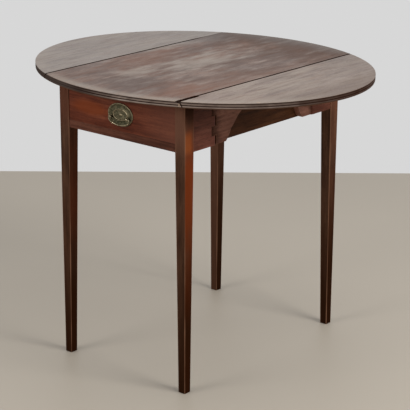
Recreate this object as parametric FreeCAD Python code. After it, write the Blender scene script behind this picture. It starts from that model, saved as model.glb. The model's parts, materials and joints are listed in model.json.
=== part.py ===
import FreeCAD, Part
import math
import os

# A Pembroke table: oval drop-leaf top, tapered legs, one drawer, and wooden fly brackets under the leaves.
# Millimetres. The floor is z = 0, the drawer end faces -y, and the leaves open towards +x and -x.

# Whole table
table_height = 720.0
frame_width = 396.8
frame_length = 590.4
apron_height = 117.0
rail_setback = 1.5

# Oval top and its rule joints
leaf_width = 232.3
top_thick = 15.0
top_overhang = 7.8
top_end_overhang = 79.8
joint_fillet = 3.0
joint_gap = 0.8
cove_clear = 0.4

# Reeded edge of the top
arris_height = 1.8
quirk_height = 0.8
reed_depth = 1.5
reed_count = 2
reed_steps = 6

# Legs, square above and tapered below the rails
leg_size = 30.0
foot_size = 20.0

# Rails of the frame and the tenons that hold them
end_rail_thick = 16.0
drawer_rail_height = 19.5
top_rail_thick = 12.0
tenon_thick = 6.0
tenon_shoulder = 4.0
tenon_length_share = 0.4
mortise_clear = 0.1
dovetail_neck_share = 0.5
dovetail_end_share = 0.65

# Fly brackets and the wooden knuckle joints they turn on
fly_thick = 16.5
fly_block_length = 73.5
fly_tip_gap = 28.0
fly_top_gap = 0.5
fly_bottom_gap = 1.5
fly_side_gap = 0.4
finger_count = 5
knuckle_gap = 0.8
finger_gap = 0.3
fly_pin_radius = 2.5

# Lower edge of a fly as shares of its length and depth, from the heel to the tip
heel_shares = (0.245, 0.0)
lobe_shares = (0.303, 0.1)
cusp_shares = (0.349, 0.238)
ledge_shares = (0.426, 0.35)
cove_shares = (0.529, 0.515)
neck_shares = (0.682, 0.622)
arm_shares = (0.797, 0.666)
nose_shares = (0.9, 0.694)
tip_shares = (0.973, 0.772)
end_shares = (1.0, 0.924)

# Drawer and what it runs on
drawer_front_thick = 18.0
drawer_side_thick = 9.0
drawer_back_thick = 10.0
drawer_bottom_thick = 6.0
drawer_bottom_lift = 8.0
drawer_side_drop = 5.0
drawer_groove = 4.0
drawer_side_gap = 0.9
drawer_clear = 0.3
drawer_back_space = 90.0
tail_count = 3
tail_length_share = 0.65
tail_narrow_share = 0.42
tail_wide_share = 0.62
runner_width = 18.0
runner_thick = 14.0
stop_width = 26.0
stop_depth = 9.0
stop_height = 5.0
stop_place_share = 0.5
glue_block_size = 18.0
glue_block_length = 50.0
glue_block_places_shares = (-0.6, 0.0, 0.6)

# Drawer handle
plate_width = 79.0
plate_height = 56.0
plate_thick = 1.2
plate_rim_width = 3.0
plate_rim_height = 1.0
plate_step_height = 1.0
plate_step_shares = (0.565, 0.465)
plate_dome_shares = (0.46, 0.37)
handle_drop = 3.0
post_drop = 6.5
post_place_share = 0.36
post_reach = 6.5
post_radius = 2.5
post_collar_radius = 3.7
post_collar_height = 2.0
post_ball_radius = 3.6
post_tail = 6.0
nut_radius = 6.0
nut_thick = 3.0
bail_radius = 1.8
bail_end_radius = 1.5
bail_end_length = 3.0
bail_side_gap = 0.6
bail_shoulder_radius = 2.6
bail_corner_radius = 10.0
bail_corner_turn_deg = 66.0

# Back-flap hinges let into the underside of the top
barrel_depth = 2.5
barrel_clear = 0.1
barrel_rows = 3
hinge_length = 60.0
hinge_place_share = 0.5
hinge_pocket_clear = 0.4
flap_thick = 1.5
flap_notch = 3.2
flap_row_gap = 0.2
top_flap_width = 24.0
leaf_flap_width = 52.0
hinge_pin_radius = 1.1
screw_radius = 1.6
screw_head_radius = 3.2
hinge_screw_length = 9.0
flap_screw_y_share = 0.3
top_flap_screw_x_share = 0.62
leaf_flap_near_share = 0.46
leaf_flap_far_share = 0.82

# Screws that hold the centre board down
top_screw_bite = 9.0
top_screw_head_height = 2.0
top_screw_places_shares = (-0.75, 0.0, 0.75)

# Fits and cutting
pin_clear = 0.06
hole_clear = 0.05
overrun = 5.0

# Heights and half sizes that many pieces share
half_width = frame_width / 2
half_length = frame_length / 2
top_width = frame_width + 2 * (top_overhang + leaf_width)
top_length = frame_length + 2 * top_end_overhang
under_top = table_height - top_thick
apron_bottom = under_top - apron_height
leg_inside_x = half_width - leg_size
leg_inside_y = half_length - leg_size
rail_thick = leg_size - rail_setback - fly_thick
rail_outside_x = leg_inside_x + rail_thick
end_face = half_length - rail_setback
tenon_length = leg_size * tenon_length_share
drawer_floor = apron_bottom + drawer_rail_height
drawer_ceiling = under_top - top_rail_thick

# The leaf turns about the centre of the rule joint's round
joint_x = half_width + top_overhang
joint_z = under_top + barrel_depth
joint_radius = top_thick - joint_fillet - barrel_depth
cove_radius = joint_radius + cove_clear

V = FreeCAD.Vector
origin = V(0, 0, 0)
x_way = V(1, 0, 0)
y_way = V(0, 1, 0)


def box(x, y, z):
    """A block between three pairs of low and high places."""
    return Part.makeBox(x[1] - x[0], y[1] - y[0], z[1] - z[0], V(x[0], y[0], z[0]))


def around(place, width):
    """The low and high places of a width about its middle."""
    return (place - width / 2, place + width / 2)


def grown(span, clear):
    return (span[0] - clear, span[1] + clear)


def prism(points, way):
    """A solid drawn along a direction from a closed outline of straight lines."""
    return Part.Face(Part.makePolygon(points + points[:1])).extrude(way)


def outline_prism(edges, way):
    """A solid drawn along a direction from the edges of a closed outline."""
    return Part.Face(Part.Wire(edges)).extrude(way)


def line(start, end):
    return Part.LineSegment(start, end).toShape()


def arc(start, through, end):
    return Part.Arc(start, through, end).toShape()


def other_side(shape):
    """The same piece on the left of the table."""
    return shape.mirror(origin, x_way)


def other_end(shape):
    """The same piece at the back of the table."""
    return shape.mirror(origin, y_way)


def joined(pieces):
    """Several shapes fused into one solid."""
    return pieces[0].fuse(pieces[1:]).removeSplitter()


def save(name, *solids):
    shape = solids[0] if len(solids) == 1 else Part.makeCompound(list(solids))
    shape.exportStep(os.path.join("parts", name + ".step"))


os.makedirs("parts", exist_ok=True)


# Tenons, drawn with room around them for their mortises

side_tenon_x = around(leg_inside_x + rail_thick / 2, tenon_thick)
end_tenon_y = around(-end_face + end_rail_thick / 2, tenon_thick)
deep_tenon_z = (apron_bottom + tenon_shoulder, under_top - top_rail_thick - tenon_shoulder)
low_tenon_z = (apron_bottom + tenon_shoulder, drawer_floor - tenon_shoulder)


def side_tenon(clear):
    y = (-leg_inside_y - tenon_length, -leg_inside_y)
    return box(grown(side_tenon_x, clear), grown(y, clear), grown(deep_tenon_z, clear))


def end_tenon(z, clear):
    x = (leg_inside_x, leg_inside_x + tenon_length)
    return box(grown(x, clear), grown(end_tenon_y, clear), grown(z, clear))


def top_rail_dovetail(clear):
    """The flared end of the top rail, let into the head of a leg."""
    middle = -end_face + (leg_size - rail_setback) / 2
    neck = leg_size * dovetail_neck_share / 2 + clear
    end = leg_size * dovetail_end_share / 2 + clear
    near = leg_inside_x - clear
    far = leg_inside_x + tenon_length + clear
    bottom = drawer_ceiling - clear
    corners = [
        V(near, middle - neck, bottom),
        V(far, middle - end, bottom),
        V(far, middle + end, bottom),
        V(near, middle + neck, bottom),
    ]
    return prism(corners, V(0, 0, top_rail_thick + 2 * clear))


# Legs

def leg_section(size, z):
    """A square about the outer corner, so that only the inner faces taper."""
    low = -half_length
    corners = [
        V(half_width, low, z),
        V(half_width, low + size, z),
        V(half_width - size, low + size, z),
        V(half_width - size, low, z),
    ]
    return Part.makePolygon(corners + corners[:1])


sections = [leg_section(foot_size, 0), leg_section(leg_size, apron_bottom), leg_section(leg_size, under_top)]
leg_blank = Part.makeLoft(sections, True, True)
leg_blank = leg_blank.cut(side_tenon(mortise_clear))
front_leg = leg_blank.cut(end_tenon(low_tenon_z, mortise_clear)).cut(top_rail_dovetail(mortise_clear))
back_leg = other_end(leg_blank.cut(end_tenon(deep_tenon_z, mortise_clear)))
save("leg_front_right", front_leg)
save("leg_front_left", other_side(front_leg))
save("leg_back_right", back_leg)
save("leg_back_left", other_side(back_leg))


# Frame rails

rail_z = (apron_bottom, under_top)
side_rail = joined([
    box((leg_inside_x, rail_outside_x), (-leg_inside_y, leg_inside_y), rail_z),
    side_tenon(0),
    other_end(side_tenon(0)),
])
save("side_rail_right", side_rail)
save("side_rail_left", other_side(side_rail))

between_legs = (-leg_inside_x, leg_inside_x)
back_rail = joined([
    box(between_legs, (end_face - end_rail_thick, end_face), rail_z),
    other_end(end_tenon(deep_tenon_z, 0)),
    other_end(other_side(end_tenon(deep_tenon_z, 0))),
])
save("back_rail", back_rail)

front_rail_y = (-end_face, -leg_inside_y)
drawer_rail = joined([
    box(between_legs, front_rail_y, (apron_bottom, drawer_floor)),
    end_tenon(low_tenon_z, 0),
    other_side(end_tenon(low_tenon_z, 0)),
])
save("drawer_rail", drawer_rail)

top_rail = joined([
    box(between_legs, front_rail_y, (drawer_ceiling, under_top)),
    top_rail_dovetail(0),
    other_side(top_rail_dovetail(0)),
])
save("top_rail", top_rail)


# Wooden knuckle joints of the flies, drawn at the front right corner

fly_x = (rail_outside_x, rail_outside_x + fly_thick)
fly_axis_x = rail_outside_x + fly_thick / 2
fly_axis_y = -leg_inside_y + fly_block_length
fly_shoulder = fly_thick / 2 + knuckle_gap
finger_height = apron_height / finger_count
fly_length = -fly_axis_y - fly_tip_gap / 2
fly_bottom = apron_bottom + fly_bottom_gap
fly_depth = under_top - fly_top_gap - fly_bottom
fly_side_x = grown(fly_x, -fly_side_gap)
knuckle_axis = V(fly_axis_x, fly_axis_y, apron_bottom)


def finger(index, half_thick, shoulder_way, gap):
    """One round-ended finger of the knuckle, reaching from the shoulder to past the pin."""
    low = apron_bottom + index * finger_height + gap
    height = finger_height - 2 * gap
    shoulder = sorted((fly_axis_y, fly_axis_y + shoulder_way * fly_shoulder))
    root = box(around(fly_axis_x, 2 * half_thick), shoulder, (low, low + height))
    return root.fuse(Part.makeCylinder(half_thick, height, V(fly_axis_x, fly_axis_y, low)))


pin_hole = Part.makeCylinder(fly_pin_radius + pin_clear, apron_height, knuckle_axis)
block_end = fly_axis_y - fly_shoulder
fixed_fingers = [finger(i, fly_thick / 2, -1, 0) for i in range(0, finger_count, 2)]
fly_block = joined([box(fly_x, (-leg_inside_y, block_end), rail_z)] + fixed_fingers).cut(pin_hole)
fly_pin = Part.makeCylinder(fly_pin_radius, apron_height, knuckle_axis)


# Fly brackets, drawn folded along the side rail

def fly_point(shares):
    return V(fly_side_x[0], fly_axis_y + shares[0] * fly_length, fly_bottom + shares[1] * fly_depth)


fly_heel = fly_axis_y + fly_shoulder
heel_top = V(fly_side_x[0], fly_heel, fly_bottom + fly_depth)
heel_bottom = V(fly_side_x[0], fly_heel, fly_bottom)
tip_top = V(fly_side_x[0], fly_axis_y + fly_length, fly_bottom + fly_depth)
fly_edges = [
    line(heel_top, heel_bottom),
    line(heel_bottom, fly_point(heel_shares)),
    arc(fly_point(heel_shares), fly_point(lobe_shares), fly_point(cusp_shares)),
    line(fly_point(cusp_shares), fly_point(ledge_shares)),
    arc(fly_point(ledge_shares), fly_point(cove_shares), fly_point(neck_shares)),
    arc(fly_point(neck_shares), fly_point(arm_shares), fly_point(nose_shares)),
    arc(fly_point(nose_shares), fly_point(tip_shares), fly_point(end_shares)),
    line(fly_point(end_shares), tip_top),
    line(tip_top, heel_top),
]
fly_half_thick = fly_thick / 2 - fly_side_gap
turning_fingers = [finger(i, fly_half_thick, 1, finger_gap) for i in range(1, finger_count, 2)]
fly_board = outline_prism(fly_edges, V(2 * fly_half_thick, 0, 0))
fly = joined([fly_board] + turning_fingers).cut(pin_hole)

save("fly_block_front_right", fly_block)
save("fly_block_front_left", other_side(fly_block))
save("fly_block_back_right", other_end(fly_block))
save("fly_block_back_left", other_end(other_side(fly_block)))
save("fly_pins", fly_pin, other_side(fly_pin), other_end(fly_pin), other_end(other_side(fly_pin)))
save("fly_front_right", fly)
save("fly_front_left", other_side(fly))
save("fly_back_right", other_end(fly))
save("fly_back_left", other_end(other_side(fly)))


# Back-flap hinges, drawn on the right with the leaf level

barrel_radius = barrel_depth - barrel_clear
joint_half_length = top_length / 2 * math.sqrt(1 - (2 * joint_x / top_width) ** 2)
hinge_places = [-joint_half_length * hinge_place_share, joint_half_length * hinge_place_share]
row_length = hinge_length / barrel_rows


def screw(x, y, bottom, head_height, length, clear):
    """A countersunk wood screw driven upwards, or its hole when there is room around it."""
    head = Part.makeCone(screw_head_radius + clear, screw_radius + clear, head_height, V(x, y, bottom))
    shank = Part.makeCylinder(screw_radius + clear, length - head_height, V(x, y, bottom + head_height))
    return head.fuse(shank).removeSplitter()


def flap_screws(places, y, clear):
    return [screw(x, y + dy, under_top, flap_thick, hinge_screw_length, clear) for x, dy in places]


def knuckle(y, row):
    """One third of the hinge barrel."""
    low = y - hinge_length / 2 + row * row_length + flap_row_gap / 2
    return Part.makeCylinder(barrel_radius, row_length - flap_row_gap, V(joint_x, low, joint_z), y_way)


def tongue(y, row, x):
    """The strip that joins a flap to its own third of the barrel."""
    span = around(y - hinge_length / 2 + (row + 1 / 2) * row_length, row_length - flap_row_gap)
    return box(x, span, (under_top, under_top + flap_thick))


def barrel_rod(y, radius):
    return Part.makeCylinder(radius, hinge_length, V(joint_x, y - hinge_length / 2, joint_z), y_way)


def flap(y, rows, plate_x, tongue_x, screws):
    """A hinge flap with its knuckles, bored for the pin and countersunk for its screws."""
    plate = box(plate_x, around(y, hinge_length), (under_top, under_top + flap_thick))
    rows_of_pieces = [[tongue(y, row, tongue_x), knuckle(y, row)] for row in rows]
    pieces = [plate] + [piece for row in rows_of_pieces for piece in row]
    return joined(pieces).cut([barrel_rod(y, hinge_pin_radius + pin_clear)] + screws)


screw_dy = hinge_length * flap_screw_y_share
top_flap_screw_x = joint_x - top_flap_width * top_flap_screw_x_share
top_screw_spots = [(top_flap_screw_x, -screw_dy), (top_flap_screw_x, screw_dy)]
leaf_near_x = joint_x + leaf_flap_width * leaf_flap_near_share
leaf_far_x = joint_x + leaf_flap_width * leaf_flap_far_share
leaf_screw_spots = [(leaf_near_x, -screw_dy), (leaf_near_x, screw_dy), (leaf_far_x, 0)]

top_flap_x = (joint_x - top_flap_width, joint_x - flap_notch)
leaf_flap_x = (joint_x + flap_notch, joint_x + leaf_flap_width)
top_flaps = []
leaf_flaps = []
hinge_pins = []
top_flap_screws = []
leaf_flap_screws = []
top_cuts = []
leaf_cuts = []
for y in hinge_places:
    top_holes = flap_screws(top_screw_spots, y, hole_clear)
    leaf_holes = flap_screws(leaf_screw_spots, y, hole_clear)
    top_flaps.append(flap(y, (0, 2), top_flap_x, (joint_x - flap_notch, joint_x), top_holes))
    leaf_flaps.append(flap(y, (1,), leaf_flap_x, (joint_x, joint_x + flap_notch), leaf_holes))
    hinge_pins.append(barrel_rod(y, hinge_pin_radius))
    top_flap_screws += flap_screws(top_screw_spots, y, 0)
    leaf_flap_screws += flap_screws(leaf_screw_spots, y, 0)
    pocket_z = (under_top - overrun, under_top + flap_thick)
    barrel_z = (under_top - overrun, joint_z + barrel_radius + hinge_pocket_clear)
    barrel_x = (joint_x - barrel_radius - hinge_pocket_clear, joint_x + cove_radius)
    pocket_y = around(y, hinge_length + 2 * hinge_pocket_clear)
    top_cuts += [box((top_flap_x[0], joint_x), pocket_y, pocket_z), box(barrel_x, pocket_y, barrel_z)]
    top_cuts += top_holes
    leaf_cuts += [box((joint_x, leaf_flap_x[1]), pocket_y, pocket_z)] + leaf_holes


# Oval top: one reeded oval, parted at the rule joints

def oval(inset, z):
    """The outline of the top, drawn in by an inset."""
    a = top_width / 2 - inset
    b = top_length / 2 - inset
    centre = V(0, 0, z)
    if a >= b:
        ellipse = Part.Ellipse(V(a, 0, z), V(0, b, z), centre)
    else:
        ellipse = Part.Ellipse(V(0, b, z), V(-a, 0, z), centre)
    return Part.Wire(ellipse.toShape())


def reeded_edge():
    """Insets and heights down the edge: a thin arris, a quirk, then the reeds with a groove between them."""
    quirk_top = table_height - arris_height
    reeds_top = quirk_top - quirk_height
    reed_height = (reeds_top - under_top) / reed_count
    steps = [(0, table_height), (0, quirk_top), (reed_depth, reeds_top)]
    for reed in range(reed_count):
        middle = reeds_top - (reed + 1 / 2) * reed_height
        for step in range(1, reed_steps + 1):
            turn = math.pi * step / reed_steps
            inset = reed_depth * (1 - math.sin(turn))
            steps.append((inset, middle + reed_height / 2 * math.cos(turn)))
    return steps


whole_top = Part.makeLoft([oval(inset, z) for inset, z in reeded_edge()], True, True)
past_top = table_height + overrun
past_under = under_top - overrun
past_side = top_width / 2 + overrun
past_end = -top_length / 2 - overrun
along_top = V(0, top_length + 2 * overrun, 0)


def on_round(radius, angle):
    """A point on the rule joint's round, measured from straight up towards the leaf."""
    return V(joint_x + radius * math.sin(angle), past_end, joint_z + radius * math.cos(angle))


# The round of the centre board runs on under its middle, so that the cove can pass it
round_end = math.pi - math.acos(barrel_depth / joint_radius)
round_top = on_round(joint_radius, 0)
round_low = on_round(joint_radius, round_end)
edge_top = V(joint_x, past_end, past_top)
edge_low = V(round_low.x, past_end, past_under)
middle_low = V(0, past_end, past_under)
middle_top = V(0, past_end, past_top)
half_board = outline_prism([
    line(middle_top, edge_top),
    line(edge_top, round_top),
    arc(round_top, on_round(joint_radius, round_end / 2), round_low),
    line(round_low, edge_low),
    line(edge_low, middle_low),
    line(middle_low, middle_top),
], along_top)
centre_side = joined([half_board, other_side(half_board)])

# The cove of the leaf starts at the joint line and ends level with the pin
cove_start = math.asin(joint_gap / cove_radius)
cove_top = on_round(cove_radius, cove_start)
cove_low = on_round(cove_radius, math.pi / 2)
leaf_top = V(joint_x + joint_gap, past_end, past_top)
leaf_low = V(cove_low.x, past_end, past_under)
far_low = V(past_side, past_end, past_under)
far_top = V(past_side, past_end, past_top)
leaf_side = outline_prism([
    line(leaf_top, cove_top),
    arc(cove_top, on_round(cove_radius, math.pi / 4), cove_low),
    line(cove_low, leaf_low),
    line(leaf_low, far_low),
    line(far_low, far_top),
    line(far_top, leaf_top),
], along_top)


# Kickers under the centre board, runners under the drawer

inner_y = (-leg_inside_y, end_face - end_rail_thick)
strip_x = (leg_inside_x - runner_width, leg_inside_x)
runner = box(strip_x, inner_y, (drawer_floor - runner_thick, drawer_floor))
save("runner_right", runner)
save("runner_left", other_side(runner))

top_screw_x = leg_inside_x - runner_width / 2
top_screw_length = top_rail_thick + top_screw_bite
top_screw_ys = [leg_inside_y * share for share in top_screw_places_shares]


def kicker_screws(clear):
    return [
        screw(top_screw_x, y, drawer_ceiling, top_screw_head_height, top_screw_length, clear)
        for y in top_screw_ys
    ]


kicker_holes = kicker_screws(hole_clear)
kicker = box(strip_x, inner_y, (drawer_ceiling, under_top)).cut(kicker_holes)
save("kicker_right", kicker)
save("kicker_left", other_side(kicker))
save("top_screws", *kicker_screws(0), *[other_side(s) for s in kicker_screws(0)])

glue_y = (end_face - end_rail_thick - glue_block_size, end_face - end_rail_thick)
glue_z = (under_top - glue_block_size, under_top)
glue_span = strip_x[0] - glue_block_length / 2
glue_blocks = []
for share in glue_block_places_shares:
    low, high = around(share * glue_span, glue_block_length)
    corners = [V(low, glue_y[1], glue_z[1]), V(low, glue_y[0], glue_z[1]), V(low, glue_y[1], glue_z[0])]
    glue_blocks.append(prism(corners, V(glue_block_length, 0, 0)))
save("glue_blocks", *glue_blocks)


# Boards of the top, with the hinges let in

board_cuts = top_cuts + [other_side(c) for c in top_cuts]
board_cuts += kicker_holes + [other_side(c) for c in kicker_holes]
save("centre_top", whole_top.common(centre_side).cut(board_cuts))
leaf = whole_top.common(leaf_side).cut(leaf_cuts)
save("leaf_right", leaf)
save("leaf_left", other_side(leaf))

hinge_groups = {
    "hinge_top_flaps": top_flaps,
    "hinge_leaf_flaps": leaf_flaps,
    "hinge_pins": hinge_pins,
    "hinge_top_screws": top_flap_screws,
    "hinge_leaf_screws": leaf_flap_screws,
}
for name, solids in hinge_groups.items():
    save(name + "_right", *solids)
    save(name + "_left", *[other_side(s) for s in solids])


# Drawer box: lapped dovetails at the front, through dovetails at the back

front_face = -end_face
front_back = front_face + drawer_front_thick
drawer_half_width = leg_inside_x - drawer_side_gap
drawer_bottom_z = drawer_floor + drawer_clear
drawer_top_z = drawer_ceiling - drawer_clear
drawer_tail_y = end_face - end_rail_thick - drawer_back_space
drawer_side_x = (drawer_half_width - drawer_side_thick, drawer_half_width)
drawer_side_z = (drawer_bottom_z, drawer_top_z - drawer_side_drop)
board_z = (drawer_bottom_z + drawer_bottom_lift, drawer_bottom_z + drawer_bottom_lift + drawer_bottom_thick)
tail_length = drawer_front_thick * tail_length_share


def tails(root_y, end_y, z):
    """Dovetails on the end of a drawer side, wider at their ends than at their roots."""
    pitch = (z[1] - z[0]) / tail_count
    wedges = []
    for index in range(tail_count):
        middle = z[0] + (index + 1 / 2) * pitch
        narrow = pitch * tail_narrow_share / 2
        wide = pitch * tail_wide_share / 2
        corners = [
            V(drawer_side_x[0], root_y, middle - narrow),
            V(drawer_side_x[0], root_y, middle + narrow),
            V(drawer_side_x[0], end_y, middle + wide),
            V(drawer_side_x[0], end_y, middle - wide),
        ]
        wedges.append(prism(corners, V(drawer_side_thick, 0, 0)))
    return wedges


back_inside = drawer_tail_y - drawer_back_thick
drawer_back_z = (board_z[1], drawer_side_z[1])
front_tails = tails(front_back, front_back - tail_length, (board_z[1], drawer_side_z[1]))
back_tails = tails(back_inside, drawer_tail_y, drawer_back_z)
side_blank = box(drawer_side_x, (front_back, back_inside), drawer_side_z)
under_back = box(drawer_side_x, (back_inside, drawer_tail_y), (drawer_side_z[0], board_z[1]))
bottom_groove = box(
    (drawer_side_x[0], drawer_side_x[0] + drawer_groove), (front_back, drawer_tail_y), board_z
)
drawer_side = joined([side_blank, under_back] + front_tails + back_tails).cut(bottom_groove)
save("drawer_side_right", drawer_side)
save("drawer_side_left", other_side(drawer_side))

board_x = (-drawer_side_x[0] - drawer_groove, drawer_side_x[0] + drawer_groove)
front_groove = box((-drawer_side_x[0], drawer_side_x[0]), (front_back - drawer_groove, front_back), board_z)
drawer_bottom = joined([box(board_x, (front_back, drawer_tail_y), board_z), front_groove])
save("drawer_bottom", drawer_bottom)

drawer_back = box((-drawer_half_width, drawer_half_width), (back_inside, drawer_tail_y), drawer_back_z)
drawer_back = drawer_back.cut(back_tails + [other_side(t) for t in back_tails])
save("drawer_back", drawer_back)

stop_y = (front_back, front_back + stop_depth)
stop_x = around(leg_inside_x * stop_place_share, stop_width)
drawer_stop = box(stop_x, stop_y, (drawer_floor, drawer_floor + stop_height))
save("drawer_stops", drawer_stop, other_side(drawer_stop))


# Handle: posts bolted through the oval plate and the drawer front, with a bail hung between them

handle_z = (drawer_floor + drawer_ceiling) / 2 - handle_drop
inner_width = plate_width - 2 * plate_rim_width
inner_height = plate_height - 2 * plate_rim_width
step_width, step_height = plate_width * plate_step_shares[0], plate_height * plate_step_shares[1]


def oval_reach(width, height):
    """Half the width of an oval on the plate at the level of the posts."""
    return width / 2 * math.sqrt(1 - (2 * post_drop / height) ** 2)


# The posts stand in the dish between the plate's raised middle and its rim
dish_inside, dish_outside = oval_reach(step_width, step_height), oval_reach(inner_width, inner_height)
post_x = dish_inside + (dish_outside - dish_inside) * post_place_share
post_z = handle_z - post_drop
ball_y = front_face - post_reach


def plate_oval(width, height, y):
    """An oval outline on the face of the drawer."""
    centre = V(0, y, handle_z)
    if width >= height:
        ellipse = Part.Ellipse(V(width / 2, y, handle_z), V(0, y, handle_z + height / 2), centre)
    else:
        ellipse = Part.Ellipse(V(0, y, handle_z + height / 2), V(-width / 2, y, handle_z), centre)
    return Part.Wire(ellipse.toShape())


def post_hole(x, clear):
    depth = drawer_front_thick + plate_thick + 2 * overrun
    return Part.makeCylinder(post_radius + clear, depth, V(x, front_face - plate_thick - overrun, post_z), y_way)


post_holes = [post_hole(-post_x, hole_clear), post_hole(post_x, hole_clear)]
sheet_face = front_face - plate_thick
rim_face = sheet_face - plate_rim_height
step_face = sheet_face - plate_step_height
solid_plate = Part.Face(plate_oval(plate_width, plate_height, front_face)).extrude(V(0, rim_face - front_face, 0))
dish = Part.Face(plate_oval(inner_width, inner_height, sheet_face)).extrude(V(0, rim_face - sheet_face, 0))
boss = Part.makeLoft([
    plate_oval(step_width, step_height, sheet_face),
    plate_oval(plate_width * plate_dome_shares[0], plate_height * plate_dome_shares[1], step_face),
], True, True)
plate = joined([solid_plate.cut(dish), boss]).cut(post_holes)
save("handle_plate", plate)

drawer_front = box(
    (-drawer_half_width, drawer_half_width), (front_face, front_back), (drawer_bottom_z, drawer_top_z)
)
front_cuts = front_tails + [other_side(t) for t in front_tails] + [front_groove] + post_holes
save("drawer_front", drawer_front.cut(front_cuts))


def handle_post(x):
    """A turned post: ball head bored for the bail, collar on the plate, shank through the drawer front."""
    shank_length = ball_y - front_back - post_tail
    collar_y = sheet_face - post_collar_height
    shank = Part.makeCylinder(post_radius, -shank_length, V(x, ball_y, post_z), y_way)
    collar = Part.makeCylinder(post_collar_radius, post_collar_height, V(x, collar_y, post_z), y_way)
    ball = Part.makeSphere(post_ball_radius, V(x, ball_y, post_z))
    bore_start = V(x - 2 * post_ball_radius, ball_y, post_z)
    bore = Part.makeCylinder(bail_end_radius + pin_clear, 4 * post_ball_radius, bore_start, x_way)
    return joined([shank, collar, ball]).cut(bore)


def post_nut(x):
    outer = Part.makeCylinder(nut_radius, nut_thick, V(x, front_back, post_z), y_way)
    return outer.cut(post_hole(x, hole_clear))


save("handle_posts", handle_post(-post_x), handle_post(post_x))
save("handle_nuts", post_nut(-post_x), post_nut(post_x))

# The bail is a round bar in one plane: a shoulder, a tight corner and a wide bottom bow on each side
bail_half_width = post_x + post_ball_radius + bail_side_gap + bail_shoulder_radius
shoulder_x = bail_half_width - bail_shoulder_radius
corner_z = post_z - bail_shoulder_radius
corner_x = bail_half_width - bail_corner_radius
corner_turn = math.radians(bail_corner_turn_deg)
bow_radius = bail_corner_radius + corner_x / math.cos(corner_turn)
bow_z = corner_z + (bow_radius - bail_corner_radius) * math.sin(corner_turn)


def on_bail(x, z, radius, angle):
    """A point on one of the bail's arcs, measured downwards from the +x direction."""
    return V(x + radius * math.cos(angle), ball_y, z - radius * math.sin(angle))


shoulder_start = V(shoulder_x, ball_y, post_z)
shoulder_mid = on_bail(shoulder_x, corner_z, bail_shoulder_radius, -math.pi / 4)
corner_start = on_bail(corner_x, corner_z, bail_corner_radius, 0)
corner_mid = on_bail(corner_x, corner_z, bail_corner_radius, corner_turn / 2)
bow_start = on_bail(corner_x, corner_z, bail_corner_radius, corner_turn)
bow_mid = on_bail(0, bow_z, bow_radius, math.pi / 2)


def flipped(point):
    return V(-point.x, point.y, point.z)


bail_path = Part.Wire([
    arc(shoulder_start, shoulder_mid, corner_start),
    arc(corner_start, corner_mid, bow_start),
    arc(bow_start, bow_mid, flipped(bow_start)),
    arc(flipped(bow_start), flipped(corner_mid), flipped(corner_start)),
    arc(flipped(corner_start), flipped(shoulder_mid), flipped(shoulder_start)),
])
bar_section = Part.Wire(Part.Circle(shoulder_start, x_way, bail_radius).toShape())
bail_bow = bail_path.makePipeShell([bar_section], True, False)
bail_pin_x = post_x - bail_end_length
bail_pin = Part.makeCylinder(bail_end_radius, shoulder_x - bail_pin_x, V(bail_pin_x, ball_y, post_z), x_way)
save("handle_bail", joined([bail_bow, bail_pin, other_side(bail_pin)]))
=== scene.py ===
import json
import math

import bmesh
import bpy
from mathutils import Matrix, Vector


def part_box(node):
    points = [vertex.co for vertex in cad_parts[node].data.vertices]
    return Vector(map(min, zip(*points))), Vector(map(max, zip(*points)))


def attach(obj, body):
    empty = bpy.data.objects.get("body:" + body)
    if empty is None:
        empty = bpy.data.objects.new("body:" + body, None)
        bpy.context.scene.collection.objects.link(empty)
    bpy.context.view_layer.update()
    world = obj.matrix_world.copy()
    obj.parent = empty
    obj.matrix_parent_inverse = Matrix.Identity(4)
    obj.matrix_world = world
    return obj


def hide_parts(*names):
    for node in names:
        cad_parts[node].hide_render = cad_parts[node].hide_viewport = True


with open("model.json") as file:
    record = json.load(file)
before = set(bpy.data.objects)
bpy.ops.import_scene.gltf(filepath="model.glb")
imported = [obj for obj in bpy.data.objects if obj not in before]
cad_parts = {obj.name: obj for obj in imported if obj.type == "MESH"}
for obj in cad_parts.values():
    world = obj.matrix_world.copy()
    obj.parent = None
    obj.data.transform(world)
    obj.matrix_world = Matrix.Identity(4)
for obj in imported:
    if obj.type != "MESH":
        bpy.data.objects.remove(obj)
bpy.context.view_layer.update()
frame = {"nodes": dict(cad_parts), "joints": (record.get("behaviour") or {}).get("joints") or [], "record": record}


# Legs
# Four legs of solid mahogany, square at the rails and planed to a taper on their two inner faces.
# They are mortised for the rails, and long handling has rubbed the dark polish off their arrises.

nodes = frame["nodes"]
body_of = {node: body for body, kept in frame["record"]["behaviour"]["bodies"].items() for node in kept}
corners = ["front_right", "front_left", "back_right", "back_left"]
weld_gap = 1e-5
flat_turn = math.radians(0.2)
smooth_turn = math.radians(38)
arris_steps = 2


def added(name, data):
    """A new object for a mesh, a light or a camera, at the origin."""
    piece = bpy.data.objects.new(name, data)
    bpy.context.scene.collection.objects.link(piece)
    return piece


def seated(piece, node):
    """Makes a piece stand for a node and move with that node's body."""
    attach(piece, body_of[node])
    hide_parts(node)


def welded(node):
    """A node's triangles as one welded shape with whole flat faces."""
    shape = bmesh.new()
    shape.from_mesh(nodes[node].data)
    bmesh.ops.remove_doubles(shape, verts=shape.verts, dist=weld_gap)
    bmesh.ops.dissolve_limit(shape, angle_limit=flat_turn, verts=shape.verts, edges=shape.edges)
    return shape


def smoothed(shape, name, *coats):
    """A finished mesh with its curves shaded smooth and its corners kept crisp."""
    mesh = bpy.data.meshes.new(name)
    shape.to_mesh(mesh)
    shape.free()
    mesh.shade_smooth()
    mesh.set_sharp_from_angle(angle=smooth_turn)
    for coat in coats:
        mesh.materials.append(coat)
    return mesh


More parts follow.
